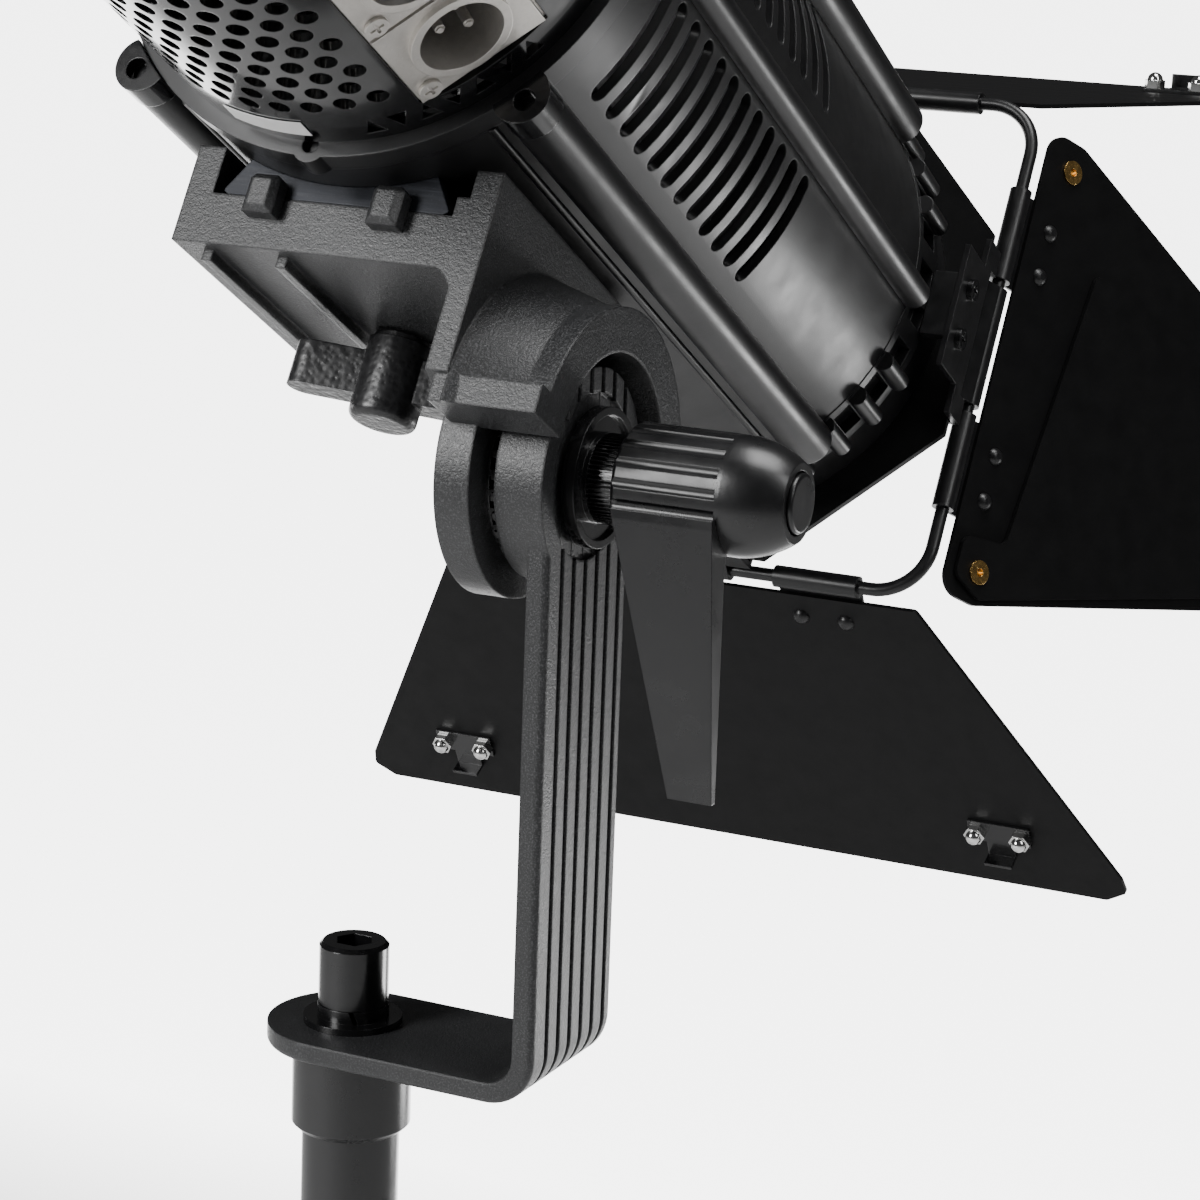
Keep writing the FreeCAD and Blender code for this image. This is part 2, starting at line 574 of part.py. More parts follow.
def clip_screws():
    """Two cross-head screws in each spring bracket."""
    y, low, high = SHELL_FRONT + 19.0, below_axis(74.6), below_axis(73.4)
    heads = []
    for angle in CLIP_ANGLES:
        for x in (-7.0, 7.0):
            head = cyl(2.9, 1.6, (x, y, below_axis(74.2)))
            head = head.cut(box((x - 1.9, x + 1.9), (y - 0.4, y + 0.4), (low, high)))
            head = head.cut(box((x - 0.4, x + 0.4), (y - 1.9, y + 1.9), (low, high)))
            heads.append(round_axis(head, angle))
    return heads


def fresnel_lens():
    """Stepped lens: a disc with concentric ridges on the front."""
    base = cyl(SHELL_R - 9.1, 4.0, (0, 152.0, AXIS_Z), Y)
    ridges = [ring(52.0 - 6 * i, 50.0 - 6 * i, 2.0, (0, 155.8, AXIS_Z), Y) for i in range(8)]
    return fused([base] + ridges)


def led_module():
    board = cyl(24.0, 2.0, (0, 32.0, AXIS_Z), Y)
    chip = box((-11, 11), (33.9, 35.5), (AXIS_Z - 11, AXIS_Z + 11))
    return board.fuse(chip)


def heat_sink():
    base = cyl(40.0, 8.0, (0, 24.0, AXIS_Z), Y).fuse(cyl(SHELL_R - SHELL_T - 0.1, 3.0, (0, 24.0, AXIS_Z), Y))
    fins = [box((-36 + 6.0 * i - 0.8, -36 + 6.0 * i + 0.8), (-30, 24.5), (AXIS_Z - 36, AXIS_Z + 36))
            for i in range(13)]
    fins = [f.common(cyl(40.0, 80, (0, -40, AXIS_Z), Y)) for f in fins]
    return fused([base] + fins)


def fan_frame():
    outer = box((-40, 40), (-46.0, -30.0), (AXIS_Z - 40, AXIS_Z + 40))
    outer = outer.cut(cyl(37.0, 30, (0, -50, AXIS_Z), Y))
    bar = box((-39, 39), (-35.0, -33.0), (AXIS_Z - 2, AXIS_Z + 2))
    pin = cyl(2.0, 9.0, (0, -43.5, AXIS_Z), Y)
    return fused([outer, bar, pin])


def fan_rotor():
    hub = cyl(13.0, 9.0, (0, -45.0, AXIS_Z), Y).cut(cyl(2.06, 12, (0, -46, AXIS_Z), Y))
    blade = box((12.0, 35.0), (-41.0, -39.8), (AXIS_Z - 5.5, AXIS_Z + 5.5))
    blade = turned(blade, X, 28, (0, -40.4, AXIS_Z))
    blades = [turned(blade, Y, 360.0 / 7 * i, (0, 0, AXIS_Z)) for i in range(7)]
    return fused([hub] + blades)


def driver_board():
    board = box((-30, 30), (-62.0, -60.4), (AXIS_Z - 6, AXIS_Z + 46))
    blocks = [box((-24, -8), (-60.5, -50), (AXIS_Z + 4, AXIS_Z + 26)),
              box((0, 18), (-60.5, -52), (AXIS_Z + 10, AXIS_Z + 36))]
    return fused([board] + blocks)


def control_knob():
    """Dimmer on top of the rear cap."""
    at = (0, -79.0, AXIS_Z + CAP_R + 0.4)
    body = cyl(9.0, 12.0, at)
    body = body.makeFillet(1.2, [e for e in body.Edges if e.Curve.TypeId == "Part::GeomCircle"
                                 and e.BoundBox.ZMin > at[2] + 11])
    flutes = [turned(cyl(0.8, 14, (9.3, -79.0, at[2] + 1.5)), Z, 20.0 * i, (0, -79.0, 0)) for i in range(18)]
    return body.cut(Part.makeCompound(flutes))


# ---------------------------------------------------------------- barn door (lamp frame)

def door_plate():
    """Octagonal plate with a round window."""
    corner = DOOR_HALF * (math.sqrt(2) - 1)
    h, c = DOOR_HALF, corner
    points = [(h, c), (c, h), (-c, h), (-h, c), (-h, -c), (-c, -h), (c, -h), (h, -c)]
    plate = prism([(x, DOOR_Y, AXIS_Z + z) for x, z in points], (0, DOOR_T, 0))
    return plate.cut(cyl(54.0, 10, (0, DOOR_Y - 4, AXIS_Z), Y))


def wire_frame():
    """Square frame of round wire with bent corners, one closed sweep."""
    h, r = WIRE_HALF, WIRE_BEND
    q = r * (1 - math.sqrt(0.5))
    edges = []
    for a in range(4):
        turn = FreeCAD.Rotation(Y, 90.0 * a)
        mid = V(0, WIRE_Y, AXIS_Z)
        start = turn.multVec(V(-(h - r), 0, h)) + mid
        end = turn.multVec(V(h - r, 0, h)) + mid
        through = turn.multVec(V(h - q, 0, h - q)) + mid
        after = turn.multVec(V(h, 0, h - r)) + mid
        edges.append(Part.makeLine(start, end))
        edges.append(Part.Arc(end, through, after).toShape())
    path = Part.Wire(edges)
    first = V(-(h - r), WIRE_Y, AXIS_Z + h)
    circle = Part.Wire(Part.makeCircle(WIRE_R, first, X))
    return path.makePipeShell([circle], True, True)


def frame_clips():
    """Four folded clips that hold the wire to the plate, one in the middle of each side."""
    out = []
    for a in (0, 90, 180, 270):
        sleeve = ring(3.0, WIRE_R + 0.02, 34.0, (-17.0, WIRE_Y, below_axis(WIRE_HALF)), X)
        tail = prism([(-17, DOOR_Y + DOOR_T, below_axis(58.0)), (-17, DOOR_Y + DOOR_T, below_axis(70.0)),
                      (-17, WIRE_Y - 2.2, below_axis(73.4)), (-17, WIRE_Y - 1.6, below_axis(71.0)),
                      (-17, DOOR_Y + DOOR_T + 1.4, below_axis(68.4)),
                      (-17, DOOR_Y + DOOR_T + 1.4, below_axis(58.0))], (34, 0, 0))
        clip = sleeve.fuse(tail).cut(cyl(WIRE_R + 0.02, 60, (-30, WIRE_Y, below_axis(WIRE_HALF)), X))
        out.append(round_axis(clip, a))
    return out


# Leaf frame: the wire is along x at the origin, the leaf runs along +y, and +z is its outer side.
SIDES = {"bottom": 0, "right": 90, "top": 180, "left": 270}
SHEET_LOW = -0.6


def leaf_to_lamp(shape, side):
    """Splays a leaf outward from the wire and carries it to its side of the frame."""
    flipped = turned(shape, Y, 180)
    splayed = turned(flipped, X, -LEAF_SPLAY)
    placed = moved(splayed, (0, WIRE_Y, below_axis(WIRE_HALF)))
    return in_lamp(round_axis(placed, SIDES[side]))


def sheet(points, low=SHEET_LOW, radius=0.0):
    plate = prism([(x, y, low) for x, y in points], (0, 0, SHEET_T))
    if radius:
        upright = [e for e in plate.Edges if e.BoundBox.ZLength > SHEET_T - 0.1]
        plate = plate.makeFillet(radius, upright)
    return plate


def wide_leaf():
    return sheet([(-69.5, 5.5), (69.5, 5.5), (118, 95), (119, 100), (113, 104), (-113, 104), (-119, 100),
                  (-118, 95)], radius=1.5)


EYELET = (59.0, 15.5)


def narrow_leaf():
    """Side leaf: lobes with eyelets beside the wire, tapering to a blunt end."""
    body = sheet([(-67.5, 5.5), (67.5, 5.5), (67.5, 18.0), (28, 128), (-28, 128), (-67.5, 18.0)], radius=6.0)
    return body.cut(Part.makeCompound([cyl(2.0, 8, (s * EYELET[0], EYELET[1], -6)) for s in (-1, 1)]))


def wing(sign):
    """Triangular wing on an eyelet of a side leaf; one wing lies on each face of the leaf."""
    low = SHEET_LOW + (SHEET_T + 0.4 if sign > 0 else -SHEET_T - 0.4)
    tip = -sign * 36.0
    body = sheet([(sign * 66.0, 18.0), (sign * 62.0, 8.0), (sign * 51.0, 8.0), (sign * 48.5, 22.5),
                  (tip, 32.0),
                  (tip * 0.6, 122.0), (sign * 26.0, 122.0)], low, 3.0)
    return body.cut(cyl(2.0, 12, (sign * EYELET[0], EYELET[1], -8)))


def eyelets():
    """Hollow brass rivets that the wings turn on."""
    out = []
    for s in (-1, 1):
        low = SHEET_LOW - (0.0 if s > 0 else SHEET_T + 0.4)
        at = (s * EYELET[0], EYELET[1], low - 0.6)
        height = 2 * SHEET_T + 1.6
        tube = cyl(1.95, height, at)
        flanges = cyl(3.3, 0.5, at).fuse(cyl(3.3, 0.5, (at[0], at[1], at[2] + height - 0.5)))
        out.append(tube.fuse(flanges).cut(cyl(1.1, height + 2, (at[0], at[1], at[2] - 1))))
    return out


def hinge_clips(places, width):
    """Sheet clips rolled round the wire, each with two rivets through the leaf."""
    out = []
    for x in places:
        sleeve = ring(3.0, WIRE_R + 0.04, width, (x - width / 2, 0, 0), X)
        tab = box((x - width / 2, x + width / 2), (0.5, 20.0), (SHEET_LOW - 1.05, SHEET_LOW - 0.05))
        slit = cyl(WIRE_R + 0.04, width + 4, (x - width / 2 - 2, 0, 0), X)
        out.append(fused([sleeve, tab]).cut(slit))
        for dx in (-6.5, 6.5):
            rivet = Part.makeSphere(2.6, V(x + dx, 13.0, SHEET_LOW + SHEET_T - 1.0))
            out.append(rivet.common(cyl(2.4, 1.4, (x + dx, 13.0, SHEET_LOW + SHEET_T + 0.02))))
    return out


CATCH_X, CATCH_Y = 84.0, 84.0


def catches():
    """Folded sheet hooks near the outer corners of a wide leaf."""
    out = []
    for s in (-1, 1):
        x, top = s * CATCH_X, SHEET_LOW + SHEET_T
        base = box((x - 9, x + 9), (CATCH_Y - 3.5, CATCH_Y + 3.5), (top + 0.02, top + 1.0))
        hook = box((x - 4, x + 4), (CATCH_Y + 3.0, CATCH_Y + 9.0), (top + 0.02, top + 1.0))
        tongue = box((x - 4, x + 4), (CATCH_Y + 8.2, CATCH_Y + 9.0), (top + 0.02, top + 5.0))
        out.append(fused([base, hook, tongue]))
    return out


def catch_nuts():
    """Domed nuts, two on each catch."""
    out = []
    for s in (-1, 1):
        for dx in (-6.6, 6.6):
            x, low = s * CATCH_X + dx, SHEET_LOW + SHEET_T + 1.02
            nut = prism(hexagon(3.1, (x, CATCH_Y, low), Z), (0, 0, 2.4))
            dome = Part.makeSphere(2.3, V(x, CATCH_Y, low + 2.4))
            out.append(nut.fuse(dome).cut(box((x - 5, x + 5), (CATCH_Y - 5, CATCH_Y + 5), (low - 6, low))))
    return out


# ---------------------------------------------------------------- assembly

def at_pivot(shape):
    return moved(shape, (0, 0, PIVOT_Z))


def save_all():
    save("stand_socket", stand_socket())
    save("lock_screw", lock_screw())
    save("socket_cap_screw", cap_screw())
    save("socket_washers", *socket_washers())
    save("side_arm", side_arm())
    save("arm_rosette", arm_rosette())
    for name, make in (("clamp_bracket", clamp_bracket), ("bracket_rosette", bracket_rosette),
                       ("pivot_bolt", pivot_bolt), ("clamp_jaw", clamp_jaw), ("clamp_knob", clamp_knob),
                       ("clamp_stud", clamp_stud), ("dovetail_rail", dovetail_rail),
                       ("housing_shell", housing_shell), ("rear_rim", rear_rim), ("rear_cap", rear_cap),
                       ("connector_plate", connector_plate), ("data_inlet", data_inlet),
                       ("data_outlet", data_outlet), ("front_ring", front_ring),
                       ("fresnel_lens", fresnel_lens),
                       ("led_module", led_module), ("heat_sink", heat_sink), ("fan_frame", fan_frame),
                       ("fan_rotor", fan_rotor), ("driver_board", driver_board),
                       ("dimmer_knob", control_knob), ("door_plate", door_plate),
                       ("wire_frame", wire_frame)):
        save(name, in_lamp(make()))
    for name, make in (("stop_lugs", stop_lugs), ("tie_tubes", tie_tubes), ("tube_screws", tube_screws),
                       ("connector_inserts", connector_inserts),
                       ("inlet_pins", inlet_pins), ("connector_screws", connector_screws),
                       ("accessory_clips", accessory_clips), ("clip_screws", clip_screws),
                       ("frame_clips", frame_clips)):
        save(name, *[in_lamp(shape) for shape in make()])
    for name, make in (("lever_collar", lever_collar), ("lever_hub", lever_hub),
                       ("lever_blade", lever_blade), ("lever_button", lever_button)):
        save(name, at_pivot(make()))
    for side in ("top", "bottom"):
        save(side + "_leaf", leaf_to_lamp(wide_leaf(), side))
        save(side + "_leaf_clips", *[leaf_to_lamp(s, side) for s in hinge_clips((-42, 42), 24.0)])
        save(side + "_leaf_catches", *[leaf_to_lamp(s, side) for s in catches()])
        save(side + "_catch_nuts", *[leaf_to_lamp(s, side) for s in catch_nuts()])
    for side in ("left", "right"):
        save(side + "_leaf", leaf_to_lamp(narrow_leaf(), side))
        save(side + "_leaf_clips", *[leaf_to_lamp(s, side) for s in hinge_clips((-33, 33), 27.0)])
        save(side + "_leaf_wing_a", leaf_to_lamp(wing(1), side))
        save(side + "_leaf_wing_b", leaf_to_lamp(wing(-1), side))
        save(side + "_leaf_eyelets", *[leaf_to_lamp(s, side) for s in eyelets()])


os.makedirs("parts", exist_ok=True)
save_all()
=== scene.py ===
import json
import math

import bpy
from mathutils import Matrix, Vector


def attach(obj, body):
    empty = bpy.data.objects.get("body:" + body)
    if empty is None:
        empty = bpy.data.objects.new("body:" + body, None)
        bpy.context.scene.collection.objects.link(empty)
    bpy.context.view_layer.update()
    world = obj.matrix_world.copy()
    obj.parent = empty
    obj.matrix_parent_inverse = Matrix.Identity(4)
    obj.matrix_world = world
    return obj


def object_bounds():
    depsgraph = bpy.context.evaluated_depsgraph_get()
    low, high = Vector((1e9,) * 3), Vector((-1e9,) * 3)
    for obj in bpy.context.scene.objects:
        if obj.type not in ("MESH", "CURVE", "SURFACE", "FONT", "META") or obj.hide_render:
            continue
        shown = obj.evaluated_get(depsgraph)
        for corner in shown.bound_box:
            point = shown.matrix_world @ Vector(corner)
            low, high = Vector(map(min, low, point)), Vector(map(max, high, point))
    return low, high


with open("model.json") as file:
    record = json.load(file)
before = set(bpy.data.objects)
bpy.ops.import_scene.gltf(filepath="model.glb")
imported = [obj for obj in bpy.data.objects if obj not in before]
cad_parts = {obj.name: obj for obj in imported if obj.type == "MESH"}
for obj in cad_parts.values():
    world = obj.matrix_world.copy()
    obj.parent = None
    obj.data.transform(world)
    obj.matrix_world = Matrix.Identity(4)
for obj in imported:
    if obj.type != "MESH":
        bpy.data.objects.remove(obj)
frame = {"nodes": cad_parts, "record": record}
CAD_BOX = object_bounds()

MM = 0.001

# The camera: where it stands round the object, in degrees and metres, and how it is framed.
CAMERA_AZIMUTH = 25.6
CAMERA_ELEVATION = 13.4
CAMERA_ROLL = 2.1
CAMERA_DISTANCE = 0.8142
CAMERA_LENS = 104.2
CAMERA_RIGHT = 0.0580
CAMERA_UP = 0.1030
FOOT_HEIGHT = 0.055

# The lamp frame: y forward along the lamp, z lamp-up, origin at the tilt pivot.
TILT = math.radians(30.7)
PIVOT = Vector((0.0, 0.0, 0.1965))
AXIS_UP = 0.1085
LAMP = Matrix.Translation(PIVOT) @ Matrix.Rotation(-TILT, 4, "X")


# ---------------------------------------------------------------- materials

class Shader:
    """A Principled material with helpers for the textures that feed it."""

    def __init__(self, name, color, roughness, metallic=0.0, **sockets):
        self.material = bpy.data.materials.new(name)
        self.material.use_nodes = True
        self.tree = self.material.node_tree
        self.bsdf = self.tree.nodes["Principled BSDF"]
        self.color = color
        self.bsdf.inputs["Base Color"].default_value = (*color, 1)
        self.bsdf.inputs["Roughness"].default_value = roughness
        self.bsdf.inputs["Metallic"].default_value = metallic
        for socket, value in sockets.items():
            self.bsdf.inputs[socket.replace("_", " ")].default_value = value
        self.coords = self.tree.nodes.new("ShaderNodeTexCoord").outputs["Object"]
        self.normal = None

    def add(self, kind, **settings):
        node = self.tree.nodes.new(kind)
        for key, value in settings.items():
            setattr(node, key, value)
        return node

    def link(self, out, into):
        self.tree.links.new(out, into)

    def scaled(self, scale):
        """Object coordinates stretched per axis, for lines and brushing."""
        node = self.add("ShaderNodeMapping")
        node.inputs["Scale"].default_value = scale
        self.link(self.coords, node.inputs["Vector"])
        return node.outputs["Vector"]

    def noise(self, scale, detail=3.0, rough=0.55, vector=None):
        node = self.add("ShaderNodeTexNoise")
        node.inputs["Scale"].default_value = scale
        node.inputs["Detail"].default_value = detail
        node.inputs["Roughness"].default_value = rough
        self.link(vector or self.coords, node.inputs["Vector"])
        return node.outputs["Fac"]

    def cells(self, scale, feature="F1"):
        node = self.add("ShaderNodeTexVoronoi", feature=feature)
        node.inputs["Scale"].default_value = scale
        self.link(self.coords, node.inputs["Vector"])
        return node.outputs["Distance"]

    def ramp(self, value, low, high, out_low=0.0, out_high=1.0):
        node = self.add("ShaderNodeMapRange")
        node.inputs["From Min"].default_value = low
        node.inputs["From Max"].default_value = high
        node.inputs["To Min"].default_value = out_low
        node.inputs["To Max"].default_value = out_high
        self.link(value, node.inputs["Value"])
        return node.outputs["Result"]

    def tint(self, value, other, low, high, amount=1.0):
        """Mixes the colour so far towards another where value runs from low to high."""
        mix = self.add("ShaderNodeMix", data_type="RGBA")
        self.link(self.ramp(value, low, high, 0.0, amount), mix.inputs["Factor"])
        base = self.bsdf.inputs["Base Color"]
        first, second, result = mix.inputs[6], mix.inputs[7], mix.outputs[2]    # the colour sockets
        if base.is_linked:
            self.link(base.links[0].from_socket, first)
        else:
            first.default_value = (*self.color, 1)
        second.default_value = (*other, 1)
        self.link(result, base)

    def rough(self, value, low, high, out_low, out_high):
        self.link(self.ramp(value, low, high, out_low, out_high), self.bsdf.inputs["Roughness"])

    def soft_edges(self, radius):
        """Rounds sharp edges by a hair, as paint and tumbling do."""
        node = self.add("ShaderNodeBevel", samples=4)
        node.inputs["Radius"].default_value = radius
        self.normal = node.outputs["Normal"]
        self.link(self.normal, self.bsdf.inputs["Normal"])

    def bump(self, value, strength, distance):
        node = self.add("ShaderNodeBump")
        node.inputs["Strength"].default_value = strength
        node.inputs["Distance"].default_value = distance
        self.link(value, node.inputs["Height"])
        if self.normal:
            self.link(self.normal, node.inputs["Normal"])
        self.normal = node.outputs["Normal"]
        self.link(self.normal, self.bsdf.inputs["Normal"])


def casting_paint():
    """Sandy charcoal powder coat on castings and the arm."""
    s = Shader("casting_paint", (0.016, 0.0163, 0.017), 0.42, Specular_IOR_Level=0.55)
    s.soft_edges(0.9 * MM)
    fine = s.noise(2300, 2.0, 0.6)
    coarse = s.noise(900, 3.0, 0.6)
    s.tint(fine, (0.075, 0.077, 0.08), 0.5, 0.72, 0.85)
    s.tint(s.noise(60, 3.0), (0.008, 0.008, 0.009), 0.45, 0.75, 0.35)
    s.rough(fine, 0.3, 0.7, 0.30, 0.52)
    s.bump(coarse, 0.35, 0.30 * MM)
    s.bump(fine, 0.6, 0.16 * MM)
    return s.material


def housing_paint():
    """Satin black with a fine even grain."""
    s = Shader("housing_paint", (0.006, 0.006, 0.0065), 0.36, Specular_IOR_Level=0.5)
    s.soft_edges(0.5 * MM)
    fine = s.noise(3200, 2.0, 0.55)
    s.tint(fine, (0.016, 0.016, 0.017), 0.5, 0.8, 0.7)
    s.rough(s.noise(90, 4.0), 0.3, 0.7, 0.31, 0.42)
    s.bump(fine, 0.28, 0.06 * MM)
    return s.material


def cap_gloss():
    """Gloss black moulding with a clear skin."""
    s = Shader("cap_gloss", (0.003, 0.003, 0.0035), 0.2, Coat_Weight=0.6, Coat_Roughness=0.08)
    s.soft_edges(0.4 * MM)
    s.rough(s.noise(160, 4.0), 0.3, 0.75, 0.15, 0.27)
    s.tint(s.noise(420, 3.0), (0.008, 0.008, 0.009), 0.55, 0.8, 0.5)
    s.bump(s.noise(700, 2.0), 0.06, 0.05 * MM)
    return s.material


def leaf_paint():
    """Matt black sheet with a very fine grain."""
    s = Shader("leaf_paint", (0.0028, 0.0028, 0.003), 0.5, Specular_IOR_Level=0.16)
    fine = s.noise(3800, 2.0, 0.5)
    s.tint(fine, (0.009, 0.009, 0.0095), 0.52, 0.8, 0.6)
    s.tint(s.noise(25, 3.0), (0.0025, 0.0025, 0.0028), 0.4, 0.7, 0.5)
    s.rough(s.noise(140, 4.0), 0.3, 0.7, 0.44, 0.56)
    s.bump(fine, 0.22, 0.05 * MM)
    return s.material


def wire_paint():
    """Satin black on bent wire and folded clips."""
    s = Shader("wire_paint", (0.005, 0.005, 0.0055), 0.34, Specular_IOR_Level=0.45)
    s.soft_edges(0.3 * MM)
    fine = s.noise(2600, 2.0)
    s.tint(fine, (0.013, 0.013, 0.0135), 0.5, 0.8, 0.6)
    s.rough(s.noise(200, 4.0), 0.3, 0.7, 0.28, 0.42)
    s.bump(fine, 0.18, 0.05 * MM)
    return s.material


def black_steel():
    """Blackened steel with faint rubbing."""
    s = Shader("black_steel", (0.006, 0.006, 0.0065), 0.22, 0.3, Coat_Weight=0.35, Coat_Roughness=0.12)
    s.soft_edges(0.35 * MM)
    rub = s.noise(140, 5.0, 0.65)
    s.tint(rub, (0.028, 0.027, 0.026), 0.62, 0.85, 0.5)
    s.rough(rub, 0.3, 0.75, 0.16, 0.32)
    s.bump(s.noise(1100, 2.0), 0.08, 0.04 * MM)
    return s.material


def lever_plastic():
    """Moulded black plastic with a light matt texture and soft flow marks."""
    s = Shader("lever_plastic", (0.004, 0.004, 0.0045), 0.28, Specular_IOR_Level=0.55)
    s.soft_edges(0.4 * MM)
    fine = s.noise(2600, 2.0, 0.6)
    s.tint(s.noise(45, 3.0), (0.008, 0.008, 0.0085), 0.45, 0.75, 0.6)
    s.rough(s.noise(110, 4.0), 0.3, 0.7, 0.24, 0.38)
    s.bump(fine, 0.22, 0.05 * MM)
    return s.material


def knob_plastic():
    """Black plastic with a moulded leather grain."""
    s = Shader("knob_plastic", (0.006, 0.006, 0.0065), 0.36, Specular_IOR_Level=0.55)
    s.soft_edges(0.6 * MM)
    grain = s.cells(750, "SMOOTH_F1")
    s.tint(grain, (0.014, 0.014, 0.015), 0.25, 0.6, 0.6)
    s.rough(s.noise(500, 3.0), 0.3, 0.7, 0.3, 0.46)
    s.bump(grain, 0.55, 0.22 * MM)
    s.bump(s.noise(1800, 2.0), 0.2, 0.06 * MM)
    return s.material


def rail_metal():
    """Dark blue-grey anodised extrusion with fine sawn and drawn lines."""
    s = Shader("rail_metal", (0.010, 0.0115, 0.016), 0.45, 0.45)
    s.soft_edges(0.4 * MM)
    drawn = s.noise(1.0, 3.0, 0.6, s.scaled((60, 900, 1600)))
    speck = s.noise(2600, 2.0)
    s.tint(drawn, (0.032, 0.036, 0.046), 0.5, 0.8, 0.7)
    s.tint(speck, (0.06, 0.063, 0.075), 0.62, 0.8, 0.5)
    s.rough(drawn, 0.3, 0.7, 0.34, 0.55)
    s.bump(drawn, 0.3, 0.08 * MM)
    return s.material


def nickel():
    """Satin nickel plate, slightly pitted die casting."""
    s = Shader("nickel", (0.62, 0.595, 0.56), 0.4, 0.85)
    s.soft_edges(0.35 * MM)
    patch = s.noise(420, 4.0, 0.65)
    s.tint(patch, (0.40, 0.385, 0.36), 0.5, 0.9, 0.45)
    s.tint(s.noise(1500, 2.0), (0.75, 0.73, 0.70), 0.6, 0.8, 0.5)
    s.rough(patch, 0.3, 0.7, 0.36, 0.5)
    s.bump(s.noise(1300, 3.0), 0.25, 0.08 * MM)
    return s.material


def chrome():
    """Polished plate on the domed nuts."""
    s = Shader("chrome", (0.72, 0.72, 0.71), 0.1, 1.0)
    s.soft_edges(0.25 * MM)
    s.rough(s.noise(600, 3.0), 0.3, 0.75, 0.06, 0.2)
    s.tint(s.noise(500, 3.0), (0.5, 0.49, 0.47), 0.55, 0.8, 0.6)
    return s.material


def rosette_metal():
    """Plated friction teeth, darkened in random dirty patches."""
    s = Shader("rosette_metal", (0.16, 0.16, 0.16), 0.33, 1.0)
    s.soft_edges(0.25 * MM)
    worn = s.noise(650, 4.0, 0.6)
    s.tint(worn, (0.02, 0.02, 0.02), 0.45, 0.7, 0.9)
    s.rough(worn, 0.3, 0.7, 0.24, 0.5)
    s.bump(worn, 0.2, 0.06 * MM)
    return s.material


def brass():
    """Bright brass of the hollow rivets."""
    s = Shader("brass", (0.80, 0.50, 0.17), 0.22, 1.0)
    s.soft_edges(0.15 * MM)
    patch = s.noise(900, 3.0)
    s.tint(patch, (0.45, 0.27, 0.09), 0.55, 0.8, 0.7)
    s.rough(patch, 0.3, 0.7, 0.15, 0.35)
    return s.material


def insert_plastic():
    """Matt black moulding inside the connectors."""
    s = Shader("insert_plastic", (0.004, 0.004, 0.004), 0.45)
    grain = s.noise(1500, 2.0)
    s.tint(grain, (0.010, 0.010, 0.010), 0.5, 0.8, 0.6)
    s.rough(grain, 0.3, 0.7, 0.38, 0.55)
    s.bump(grain, 0.15, 0.05 * MM)
    return s.material


def lens_glass():
    """Clear pressed glass with the faintest waviness."""
    s = Shader("glass", (0.93, 0.95, 0.96), 0.03, Transmission_Weight=1.0, IOR=1.5)
    s.bump(s.noise(120, 3.0), 0.04, 0.1 * MM)
    s.rough(s.noise(300, 3.0), 0.3, 0.8, 0.02, 0.08)
    return s.material


def sink_metal():
    """Plain aluminium with fine lines along the fins."""
    s = Shader("sink_metal", (0.32, 0.32, 0.33), 0.4, 1.0)
    drawn = s.noise(1.0, 3.0, 0.6, s.scaled((1500, 80, 400)))
    s.tint(drawn, (0.2, 0.2, 0.205), 0.45, 0.75, 0.8)
    s.rough(drawn, 0.3, 0.7, 0.32, 0.5)
    s.bump(drawn, 0.2, 0.05 * MM)
    return s.material


def led_board():
    """Yellow phosphor over a white board, in a fine square grid."""
    s = Shader("led_board", (0.80, 0.62, 0.18), 0.5)
    dots = s.cells(900)
    s.tint(dots, (0.85, 0.84, 0.8), 0.35, 0.6, 0.8)
    s.rough(dots, 0.2, 0.6, 0.35, 0.6)
    s.bump(dots, 0.3, 0.1 * MM)
    return s.material


def circuit():
    """Green board with tracks under the solder mask."""
    s = Shader("circuit", (0.015, 0.075, 0.03), 0.4)
    tracks = s.noise(350, 1.0)
    s.tint(tracks, (0.03, 0.13, 0.05), 0.5, 0.54, 0.9)
    s.rough(tracks, 0.4, 0.6, 0.32, 0.48)
    s.bump(tracks, 0.2, 0.05 * MM)
    return s.material


def fan_plastic():
    """Plain black moulding of the fan and the inner tube."""
    s = Shader("fan_plastic", (0.012, 0.012, 0.012), 0.4)
    grain = s.noise(900, 2.0)
    s.tint(grain, (0.022, 0.022, 0.022), 0.5, 0.8, 0.6)
    s.rough(grain, 0.3, 0.7, 0.34, 0.5)
    s.bump(grain, 0.1, 0.05 * MM)
    return s.material


def label_film():
    """White sticker film with nothing printed on it."""
    s = Shader("label_film", (0.78, 0.78, 0.77), 0.35, Coat_Weight=0.2, Coat_Roughness=0.2)
    s.tint(s.noise(200, 3.0), (0.68, 0.68, 0.66), 0.45, 0.75, 0.4)
    s.rough(s.noise(300, 3.0), 0.3, 0.7, 0.3, 0.42)
    s.bump(s.noise(900, 2.0), 0.05, 0.03 * MM)
    return s.material


MAKERS = {
    "casting_paint": casting_paint, "housing_paint": housing_paint, "cap_gloss": cap_gloss,
    "leaf_paint": leaf_paint, "wire_paint": wire_paint, "black_steel": black_steel,
    "lever_plastic": lever_plastic, "knob_plastic": knob_plastic, "rail_metal": rail_metal,
    "nickel": nickel, "insert_plastic": insert_plastic, "brass": brass, "chrome": chrome,
    "rosette_metal": rosette_metal, "glass": lens_glass, "sink_metal": sink_metal,
    "led_board": led_board, "circuit": circuit, "fan_plastic": fan_plastic,
}


def dress_nodes():
    """Gives every CAD node the material of its record slot."""
    made = {name: make() for name, make in MAKERS.items()}
    for part in frame["record"]["subparts"]:
        obj = frame["nodes"][part["node"]]
        obj.data.materials.clear()
        obj.data.materials.append(made[part["material_slot"]])
    return made


# ---------------------------------------------------------------- extra pieces

